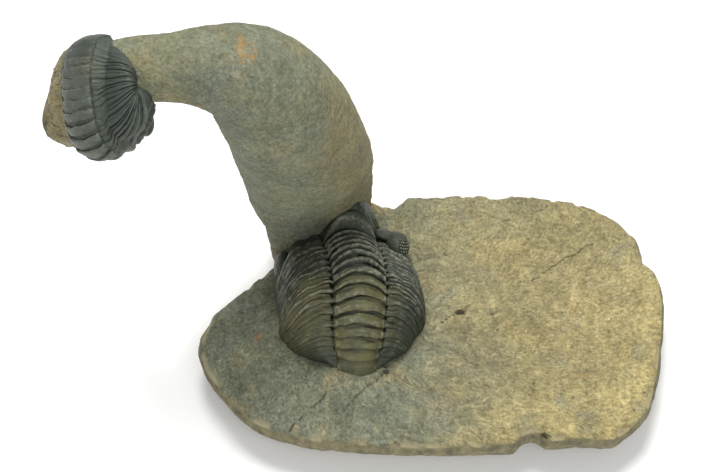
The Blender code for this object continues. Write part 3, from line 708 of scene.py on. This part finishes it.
def shell_mesh(body, floor, lobes):
    """Points, faces, relief, ring and share of a shell closed at its ends and belly."""
    grid, relief, ring, share = rough_shell(body)
    count, wide = grid.shape[:2]
    points = list(grid.reshape(-1, 3))
    faces = grid_faces(count, wide)
    left = [i * wide for i in range(count)]
    right = [i * wide + wide - 1 for i in range(count)]
    ends = [list(range(wide)), list(range((count - 1) * wide, count * wide))]
    if floor is not None:
        for rail in (left, right):
            lower = []
            for k in rail:
                lower.append(len(points))
                points.append(np.array((points[k][0], points[k][1], floor)))
            faces += [(rail[i], rail[i + 1], lower[i + 1], lower[i]) for i in range(count - 1)]
            for end, k in ((ends[0], lower[0]), (ends[1], lower[-1])):
                end.insert(0 if rail is left else len(end), k)
            rail[:] = lower
    faces += [(left[i], left[i + 1], right[i + 1], right[i]) for i in range(count - 1)]
    for end in ends:
        half = len(end) // 2
        faces += [(end[j], end[j + 1], end[-2 - j], end[-1 - j]) for j in range(half - 1)]
        faces.append((end[half - 1], end[half], end[half + 1]))
    extra = len(points) - relief.size
    # The closing sides and belly get a low relief, which paints them with the furrows' painted shade.
    relief = np.concatenate([relief.reshape(-1), np.full(extra, -0.3)])
    ring = np.concatenate([ring.reshape(-1), np.zeros(extra)])
    share = np.concatenate([share.reshape(-1), np.ones(extra)])
    for spots, cells, bumps in lobes:
        start = len(points)
        points += list(spots)
        faces += [tuple(k + start for k in cell) for cell in cells]
        relief = np.concatenate([relief, bumps])
        ring = np.concatenate([ring, np.full(len(spots), body.neck + 5)])
        share = np.concatenate([share, np.full(len(spots), -0.9)])
    return np.array(points), faces, relief, ring, share


def spot(points, centre, reach):
    """1 at a place seen from above, fading to 0 at the given reach, with a ragged edge."""
    away = np.hypot((points[:, 0] - centre[0]) / reach[0], (points[:, 1] - centre[1]) / reach[1])
    near = away < 2.5
    away[near] += 0.35 * fractal(points[near], min(reach) * 0.8, 3, 7.0)
    return 1 - smooth_step(away, 0.55, 1.1)


def line_distance(points, corners, closed=False):
    """Distance in plan from each point to a line through the given corners."""
    a = np.array(corners, float)
    b = np.roll(a, -1, axis=0)
    if not closed:
        a, b = a[:-1], b[:-1]
    best = np.full(len(points), np.inf)
    for start, end in zip(a, b):
        span = end - start
        t = np.clip(((points[:, :2] - start) @ span) / (span @ span), 0, 1)
        away = np.linalg.norm(start + t[:, None] * span - points[:, :2], axis=1)
        best = np.minimum(best, away)
    return best


def crack(points, corners, half_width):
    """1 along a wavering line on the slab, 0 beside it."""
    away = line_distance(points, corners)
    near = away < 8 * half_width + 1.5
    shifted = points[near].copy()
    shifted[:, 0] += 0.5 * fractal(points[near], 3.0, 3, 21.0)
    shifted[:, 1] += 0.5 * fractal(points[near], 3.0, 3, 27.0)
    away[near] = line_distance(shifted, corners)
    return 1 - smooth_step(away, 0.35 * half_width, 1.3 * half_width)


def scribble(points, length, seed):
    """Short brushed strokes whose direction wanders over the stone, about -1 to 1."""
    turn = pi * fractal(points, 13.0, 2, seed + 3)
    a, b = points[:, 0], points[:, 1]
    along = a * np.cos(turn) + b * np.sin(turn)
    across = b * np.cos(turn) - a * np.sin(turn)
    stretched = np.stack([along / length, across / STROKE_WIDTH, turn], -1)
    return fractal(stretched, 1.0, 2, seed)


def rim_line():
    """Slab rim at even spacing, with the outward direction at each point."""
    corners = np.array(SLAB_RIM + SLAB_RIM[:1])
    travel = np.concatenate([[0], np.cumsum(np.linalg.norm(np.diff(corners, axis=0), axis=1))])
    at = np.linspace(0, travel[-1], int(travel[-1] / RIM_SPACING), endpoint=False)
    line = np.stack([np.interp(at, travel, corners[:, k]) for k in (0, 1)], 1)
    for smoothing in range(RIM_SMOOTHINGS):
        line = (np.roll(line, 1, 0) + 2 * line + np.roll(line, -1, 0)) / 4
    along = np.roll(line, -2, 0) - np.roll(line, 2, 0)
    out = np.stack([along[:, 1], -along[:, 0]], 1)
    return line, out / np.linalg.norm(out, axis=1)[:, None]


def slab_height(plan, bed):
    """Height of the slab's upper face, banked up against the margin of the body on it."""
    level = np.column_stack([plan, np.full(len(plan), 4.0)])
    height = SLAB_TOP + SLAB_WAVE * fractal(level, SLAB_WAVE_LENGTH, 3)
    edge = np.clip(1 - line_distance(plan, SLAB_RIM, closed=True) / RIM_DROP_REACH, 0, 1)
    height -= RIM_DROP * edge**2
    tree = kdtree.KDTree(len(bed))
    for k, (x, y, z) in enumerate(bed):
        tree.insert((x, y, 0), k)
    tree.balance()
    for k, (x, y) in enumerate(plan):
        place, nearest, reach = tree.find((x, y, 0))
        rise = bed[nearest, 2] - height[k]
        if rise > 0:
            height[k] += rise * np.exp(-(reach / BED_REACH) ** 2)
    return height


def slab_top(edge, bed):
    """Points of the slab's upper face out to a given edge, with their strokes and marks."""
    shares = np.linspace(FIRST_RING, 1, TOP_RINGS)
    plan = (SLAB_CENTRE + shares[:, None, None] * (edge - SLAB_CENTRE)).reshape(-1, 2)
    top = np.column_stack([plan, slab_height(plan, bed)])
    strokes = scribble(top, SLAB_STROKE, 2.0)
    away = line_distance(top, SLAB_RIM, closed=True)
    chips = smooth_step(fractal(top, 5.0, 2, 31.0), 0.06, 0.24) * (1 - smooth_step(away, 0.7, 1.7))
    marks = {word: np.zeros(len(top)) for word in ("dark", "pale", "warm")}
    groove = np.zeros(len(top))
    flaws = [("dark", depth, crack(top, corners, width)) for depth, width, corners in SLAB_CRACKS]
    flaws += [(kind, depth, spot(top, centre, reach)) for kind, depth, centre, reach in SLAB_SPOTS]
    for kind, depth, on in flaws:
        marks[kind] = np.maximum(marks[kind], on)
        groove = np.maximum(groove, on * depth)
    marks["pale"] = np.maximum(marks["pale"], chips * CHIP_TONE)
    marks["side"] = smooth_step(away, 0.55, 0.2)
    top[:, 2] += (rough_height(top, TOP_ROUGH) + SLAB_STROKE_HEIGHT * strokes - groove
                  - CHIP_DEPTH * chips)
    return top, strokes, marks


def build_slab(bed, look):
    """Slab with a brushed upper face, a chipped rim, rough broken sides and an undercut base."""
    line, out = rim_line()
    count = len(line)
    top, strokes, marks = slab_top(line - out * RIM_BREAK, bed)
    rows = [top[-count:]]
    knots = np.arange(len(SLAB_SIDE) + 1)
    steps = np.linspace(0, len(SLAB_SIDE), SIDE_ROWS + 1)[1:]
    draws = glide(steps, list(zip(knots, [RIM_BREAK] + [d for z, d in SLAB_SIDE[::-1]])))
    heights = [z for z, draw in SLAB_SIDE[::-1]]
    for step, draw in zip(steps, draws):
        z = np.array([np.interp(step, knots, [h] + heights) for h in top[-count:, 2]])
        row = np.column_stack([line - out * draw, z])
        fade = np.minimum(1, z / 1.5) * min(1.0, 0.25 + 0.3 * step)
        row[:, :2] += out * (rough_height(row, SIDE_ROUGH) * fade)[:, None]
        rows.append(row)
    side = np.concatenate(rows[1:])
    points = np.concatenate([top, side])
    total = TOP_RINGS + SIDE_ROWS
    faces = grid_faces(total, count, wrap=True)
    faces.append(tuple(range(count)))
    faces.append(tuple(range((total - 1) * count, total * count)))
    for word, values in marks.items():
        on_side = 1.0 if word == "side" else 0.0
        marks[word] = np.concatenate([values, np.full(len(side), on_side)])
    marks["relief"] = np.concatenate([strokes, fractal(side, 1.2, 3, 51.0)])
    build_piece("slab", points, faces, marks, look, "stone_slab")


def build_arm(upper, look):
    """Bent arm of stone, brushed all over, with the stone that fills the upper body's coil."""
    knots = np.array(ARM_PATH)
    travel = np.concatenate([[0], np.cumsum(np.linalg.norm(np.diff(knots[:, :3], axis=0), axis=1))])
    stations = np.linspace(0, travel[-1], ARM_STATIONS)
    line = np.stack([glide(stations, list(zip(travel, knots[:, k]))) for k in range(4)], 1)
    ahead = np.gradient(line[:, :3], axis=0)
    ahead /= np.linalg.norm(ahead, axis=1)[:, None]
    depthwise = np.array((0, 1, 0)) - ahead * ahead[:, 1:2]
    depthwise /= np.linalg.norm(depthwise, axis=1)[:, None]
    sideways = np.cross(depthwise, ahead)
    turn = np.linspace(0, 2 * pi, ARM_SIDES, endpoint=False)[None, :]
    share = glide(line[:, 2], ARM_DEPTH)[:, None]
    twist = np.radians(glide(line[:, 2], ARM_TWIST))[:, None]
    wide, deep = np.cos(turn), np.sin(turn) * share
    across = wide * np.cos(twist) - deep * np.sin(twist)
    along = wide * np.sin(twist) + deep * np.cos(twist)
    spoke = sideways[:, None] * across[..., None] + depthwise[:, None] * along[..., None]
    half = line[:, 3][:, None]
    grid = line[:, None, :3] + spoke * half[..., None]
    grid = grid + spoke * (ARM_WAVE * fractal(grid, ARM_WAVE_LENGTH, 3))[..., None]
    for rounding in range(ARM_ROUNDING):
        grid[1:-1] = (grid[:-2] + 2 * grid[1:-1] + grid[2:]) / 4
    normal = grid_normals(grid, wrap=True)
    if np.sum(normal * spoke) < 0:
        normal = -normal
    wrapped = np.stack([stations[:, None] * np.ones_like(turn), half * np.sin(turn),
                        half * np.cos(turn)], -1)
    relief = scribble(wrapped.reshape(-1, 3), ARM_STROKE, 8.0)
    rough = rough_height(grid, ARM_ROUGH) + ARM_STROKE_HEIGHT * relief.reshape(grid.shape[:2])
    points = (grid + normal * rough[..., None]).reshape(-1, 3)
    faces = grid_faces(ARM_STATIONS, ARM_SIDES, wrap=True)
    faces.append(tuple(range(ARM_SIDES)))
    faces.append(tuple(range(len(points) - ARM_SIDES, len(points))))
    spots, cells, bumps = lobe(FILL_CENTRE, upper.frame.T, FILL_SIZE, turns=150, rings=90)
    outward = (spots - FILL_CENTRE) / FILL_REACH
    spots = spots + outward * rough_height(spots, FILL_ROUGH)[:, None]
    faces += [tuple(k + len(points) for k in cell) for cell in cells]
    points = np.concatenate([points, spots])
    warm = np.zeros(len(points))
    for centre, reach in ARM_SPOTS:
        away = np.linalg.norm((points - np.array(centre)) / reach, axis=1)
        near = away < 2.5
        away[near] += 0.45 * fractal(points[near], 1.6, 3, 71.0)
        warm = np.maximum(warm, 1 - smooth_step(away, 0.5, 1.15))
    marks = {"relief": np.concatenate([relief, np.zeros(len(spots))]), "warm": warm}
    build_piece("arm", points, faces, marks, look, "stone_arm")


def build_trilobite(name, body, floor, lobes, look, node):
    """Fine shell of a trilobite with the lobes that stand on its head."""
    points, faces, relief, ring, share = shell_mesh(body, floor, lobes)
    marks = {"relief": relief, "ring": ring, "share": share}
    build_piece(name, points, faces, marks, look, node)


class Look:
    """One material, with short calls for the nodes that colour it."""

    def __init__(self, name, specular):
        self.made = bpy.data.materials.new(name)
        self.made.use_nodes = True
        self.tree = self.made.node_tree
        self.shader = self.tree.nodes["Principled BSDF"]
        self.shader.inputs["Specular IOR Level"].default_value = specular
        self.place = self.add("ShaderNodeTexCoord").outputs["Object"]

    def add(self, kind, **settings):
        """New node of a kind, with its settings."""
        node = self.tree.nodes.new(kind)
        for word, value in settings.items():
            setattr(node, word, value)
        return node

    def feed(self, socket, value):
        """Give an input the output of another node, a colour or a number."""
        if isinstance(value, bpy.types.NodeSocket):
            self.tree.links.new(value, socket)
        elif isinstance(value, tuple):
            socket.default_value = (*value, 1.0) if len(socket.default_value) == 4 else value
        else:
            socket.default_value = value

    def noise(self, length, detail, seed, rough=0.55):
        """Noise about 0 to 1 whose features have the given length in millimetres."""
        node = self.add("ShaderNodeTexNoise", noise_dimensions="4D")
        self.feed(node.inputs["Vector"], self.place)
        self.feed(node.inputs["W"], seed)
        self.feed(node.inputs["Scale"], 1000.0 / length)
        self.feed(node.inputs["Detail"], detail)
        self.feed(node.inputs["Roughness"], rough)
        return node.outputs["Fac"]

    def ramp(self, value, low, high, start=0.0, end=1.0):
        """Value carried from the span low to high over to the span start to end."""
        node = self.add("ShaderNodeMapRange", clamp=True)
        for socket, number in zip(node.inputs, (value, low, high, start, end)):
            self.feed(socket, number)
        return node.outputs["Result"]

    def mix(self, factor, a, b, mode="MIX"):
        """Colour a with colour b over it, as far as the factor says."""
        node = self.add("ShaderNodeMix", data_type="RGBA", blend_type=mode)
        for socket, value in zip((node.inputs[0], node.inputs[6], node.inputs[7]), (factor, a, b)):
            self.feed(socket, value)
        return node.outputs[2]

    def work_out(self, a, operation, b):
        """Result of one of the math node's operations on two values."""
        node = self.add("ShaderNodeMath", operation=operation)
        self.feed(node.inputs[0], a)
        self.feed(node.inputs[1], b)
        return node.outputs[0]

    def times(self, a, b):
        """Product of two values."""
        return self.work_out(a, "MULTIPLY", b)

    def mark(self, word):
        """Named value of the mesh's points."""
        return self.add("ShaderNodeAttribute", attribute_name=word).outputs["Fac"]

    def where(self, axis):
        """Place along one axis of the frame, in metres."""
        split = self.add("ShaderNodeSeparateXYZ")
        self.feed(split.inputs[0], self.place)
        return split.outputs[axis]

    def shaded(self, colour, value, low, high, dark, bright):
        """Colour darkened or brightened by a value, from dark at low to bright at high."""
        shade = self.ramp(value, low, high, dark, bright)
        mixed = self.add("ShaderNodeCombineColor")
        for socket in mixed.inputs:
            self.feed(socket, shade)
        return self.mix(1.0, colour, mixed.outputs[0], "MULTIPLY")

    def blotches(self, colour, layers):
        """Colour with blotches or specks of other colours over it."""
        for tint, length, detail, seed, rough, span, strength in layers:
            on = self.ramp(self.noise(length, detail, seed, rough), *span, 0.0, strength)
            colour = self.mix(on, colour, tint)
        return colour

    def grain(self, colour, layers):
        """Colour with layers of lighter and darker grain."""
        for length, detail, seed, rough, span, depth in layers:
            value = self.noise(length, detail, seed, rough)
            colour = self.shaded(colour, value, *span, 1 - depth, 1 + depth)
        return colour

    def bump(self, layers):
        """Bumps that are finer than the mesh, from layers of noise."""
        normal = None
        for length, detail, seed, rough, depth in layers:
            node = self.add("ShaderNodeBump")
            self.feed(node.inputs["Height"], self.noise(length, detail, seed, rough))
            node.inputs["Strength"].default_value = 1.0
            node.inputs["Distance"].default_value = depth * MM
            if normal:
                self.feed(node.inputs["Normal"], normal)
            normal = node.outputs["Normal"]
        self.feed(self.shader.inputs["Normal"], normal)

    def finish(self, colour, roughness):
        """The material, with its colour and roughness."""
        self.feed(self.shader.inputs["Base Color"], colour)
        self.feed(self.shader.inputs["Roughness"], roughness)
        return self.made


def slab_look():
    """Limestone, grey at the back left, yellow at the front right, with broken sides."""
    look = Look("brushed_limestone", STONE_GLOSS)
    x, y = look.where("X"), look.where("Y")
    patch = look.ramp(look.noise(26, 3, 1.0), 0.3, 0.7, -0.014, 0.014)
    right = look.ramp(look.work_out(x, "ADD", patch), -0.016, 0.016)
    colour = look.mix(right, SLAB_GREY, SLAB_OLIVE)
    front = look.work_out(look.work_out(x, "SUBTRACT", y), "ADD", look.times(patch, 1.4))
    speckle = look.ramp(look.noise(3.2, 5, 4.0, 0.7), 0.42, 0.6, 0.45, 1.0)
    colour = look.mix(look.times(look.ramp(front, 0.024, 0.056), speckle), colour, SLAB_YELLOW)
    colour = look.blotches(colour, SLAB_BLOTCHES)
    colour = look.grain(colour, SLAB_GRAIN)
    colour = look.blotches(colour, SLAB_SPECKS)
    # Painted shade and light: darker in the grooves of the brush strokes, lighter on their ridges.
    colour = look.shaded(colour, look.mark("relief"), -0.6, 0.6, 0.72, 1.28)
    broken = look.mix(look.ramp(look.noise(2.0, 5, 21.0, 0.7), 0.35, 0.65), *SLAB_BROKEN)
    colour = look.mix(look.mark("side"), colour, broken)
    colour = look.mix(look.mark("pale"), colour, SLAB_CHIP)
    colour = look.mix(look.times(look.mark("warm"), 0.6), colour, SLAB_RUST)
    colour = look.mix(look.mark("dark"), colour, SLAB_CRACK)
    look.bump(SLAB_BUMPS)
    return look.finish(colour, look.ramp(look.noise(4, 3, 5.0), 0.3, 0.7, *SLAB_MATT))


def arm_look():
    """Darker, greener limestone, ochre towards its right edge, with orange stains."""
    look = Look("brushed_dark_limestone", STONE_GLOSS)
    colour = look.mix(look.ramp(look.noise(18, 4, 1.0), 0.36, 0.64), ARM_GREEN, ARM_GREY)
    waver = look.ramp(look.noise(10, 4, 2.0), 0.3, 0.7, -0.006, 0.006)
    edge = look.work_out(look.where("X"), "ADD", waver)
    colour = look.mix(look.ramp(edge, -0.0225, -0.0125, 0.0, 0.5), colour, ARM_OCHRE)
    colour = look.blotches(colour, ARM_BLOTCHES)
    colour = look.grain(colour, ARM_GRAIN)
    # Painted shade and light: darker in the grooves of the brush strokes, lighter on their ridges.
    colour = look.shaded(colour, look.mark("relief"), -0.7, 0.7, 0.80, 1.20)
    colour = look.blotches(colour, ARM_SPECKS)
    ragged = look.ramp(look.noise(0.9, 4, 27.0, 0.7), 0.42, 0.56)
    stain = look.times(look.mark("warm"), ragged)
    colour = look.mix(look.times(stain, 0.8), colour, ARM_RUST)
    look.bump(ARM_BUMPS)
    return look.finish(colour, look.ramp(look.noise(4, 3, 5.0), 0.3, 0.7, *ARM_MATT))


def between(look, value, low, high, soft):
    """1 while a value lies between low and high, with soft ends."""
    rise = look.ramp(value, low - soft, low + soft)
    fall = look.ramp(value, high - soft, high + soft, 1.0, 0.0)
    return look.times(rise, fall)


def shell_look(name, base, wear_and_highlight_colour, parts, grit):
    """Shell: painted shade in the furrows, paler on the ribs from wear and painted highlight, with
    stained parts of the body.
    """
    look = Look(name, SHELL_GLOSS)
    look.feed(look.shader.inputs["Specular Tint"], GLOSS_TINT)
    ring, share, relief = look.mark("ring"), look.mark("share"), look.mark("relief")
    colour = look.grain(base, SHELL_GRAIN)
    for tint, rings, shares, soft, strength in parts:
        on = look.times(between(look, ring, *rings, soft[0]), between(look, share, *shares, soft[1]))
        broken = look.ramp(look.noise(2.6, 5, 6.0, 0.65), 0.36, 0.58, 0.35, 1.0)
        colour = look.mix(look.times(look.times(on, broken), strength), colour, tint)
    patchy = look.ramp(look.noise(0.8, 4, 8.0), 0.38, 0.62)
    # Paler ribs: wear, and painted highlight where the crests stand highest.
    wear_and_highlight_mask = look.times(look.ramp(relief, 0.16, 0.5), patchy)
    colour = look.mix(look.times(wear_and_highlight_mask, 0.9), colour, wear_and_highlight_colour)
    colour = look.blotches(colour, [(SHELL_GRIT, 0.7, 3, 12.0, 0.55, (0.62, 0.72), grit)])
    # Painted shade: colour darkened where the relief is low, in the furrows.
    deep = look.ramp(relief, -0.42, -0.05, 1.0, 0.0)
    colour = look.mix(look.times(deep, 0.85), colour, FURROW_SHADE)
    look.bump(SHELL_BUMPS)
    return look.finish(colour, look.ramp(look.noise(1.5, 4, 5.0), 0.3, 0.7, *SHELL_SATIN))


def add_light(name, place, size, power, colour):
    """Round soft lamp that shines at the object."""
    light = bpy.data.lights.new(name, "AREA")
    light.shape = "DISK"
    light.size = size
    light.energy = power
    light.color = colour
    thing = bpy.data.objects.new(name, light)
    thing.location = Vector(place)
    aim = Vector(VIEW_TARGET) * MM - thing.location
    thing.rotation_euler = aim.to_track_quat("-Z", "Y").to_euler()
    bpy.context.scene.collection.objects.link(thing)


def build_stage():
    """Pale floor, soft studio light and the camera."""
    mesh = bpy.data.meshes.new("floor")
    corners = [(FLOOR_REACH * x, FLOOR_REACH * y, 0) for x, y in ((-1, -1), (1, -1), (1, 1), (-1, 1))]
    mesh.from_pydata(corners, [], [(0, 1, 2, 3)])
    look = Look("pale_floor", 0.1)
    tone = look.shaded((0.93, 0.93, 0.93), look.noise(60, 2, 1.0), 0.3, 0.7, 0.995, 1.0)
    mesh.materials.append(look.finish(tone, 0.9))
    floor = bpy.data.objects.new("floor", mesh)
    bpy.context.scene.collection.objects.link(floor)
    world = bpy.data.worlds.new("studio")
    world.use_nodes = True
    world.node_tree.nodes["Background"].inputs["Color"].default_value = (1, 1, 1, 1)
    world.node_tree.nodes["Background"].inputs["Strength"].default_value = WORLD_LIGHT
    bpy.context.scene.world = world
    for light in LIGHTS:
        add_light(*light)
    camera = bpy.data.cameras.new("camera")
    camera.lens = LENS
    camera.sensor_width = 36
    camera.clip_start = 0.01
    thing = bpy.data.objects.new("camera", camera)
    back = Vector((0, -cos(VIEW_ELEVATION), sin(VIEW_ELEVATION)))
    thing.location = (Vector(VIEW_TARGET) + back * VIEW_DISTANCE) * MM
    thing.rotation_euler = back.to_track_quat("Z", "Y").to_euler()
    bpy.context.scene.collection.objects.link(thing)
    bpy.context.scene.camera = thing
    bpy.context.scene.view_settings.view_transform = "Standard"


build_stage()
lower = lower_trilobite()
upper = upper_trilobite()
margin = lower.surface()[0]
bed = np.concatenate([margin[:, 0], margin[:, -1], margin[0]])
build_slab(bed, slab_look())
build_arm(upper, arm_look())
lower_look = shell_look("lower_shell_look", LOWER_BASE, LOWER_WEAR_AND_HIGHLIGHT, LOWER_PARTS, LOWER_GRIT)
upper_look = shell_look("upper_shell_look", UPPER_BASE, UPPER_WEAR_AND_HIGHLIGHT, UPPER_PARTS, UPPER_GRIT)
centre, axes = lower.eye_frame(1)
eye = lobe(centre + np.dot(EYE_SHIFT, axes), axes, EYE_SIZE, True, EYE_TURNS, EYE_RINGS)
lid = lobe(centre + np.dot(LID_SHIFT, axes), axes, LID_SIZE)
genal = lobe(GENAL_CENTRE, np.eye(3), GENAL_SIZE)
cheek = lobe(CHEEK_CENTRE, np.eye(3), CHEEK_SIZE)
build_trilobite("lower_trilobite", lower, BODY_FLOOR, [eye, lid, genal], lower_look,
                "trilobite_on_slab")
build_trilobite("upper_trilobite", upper, None, [cheek], upper_look, "trilobite_on_arm")
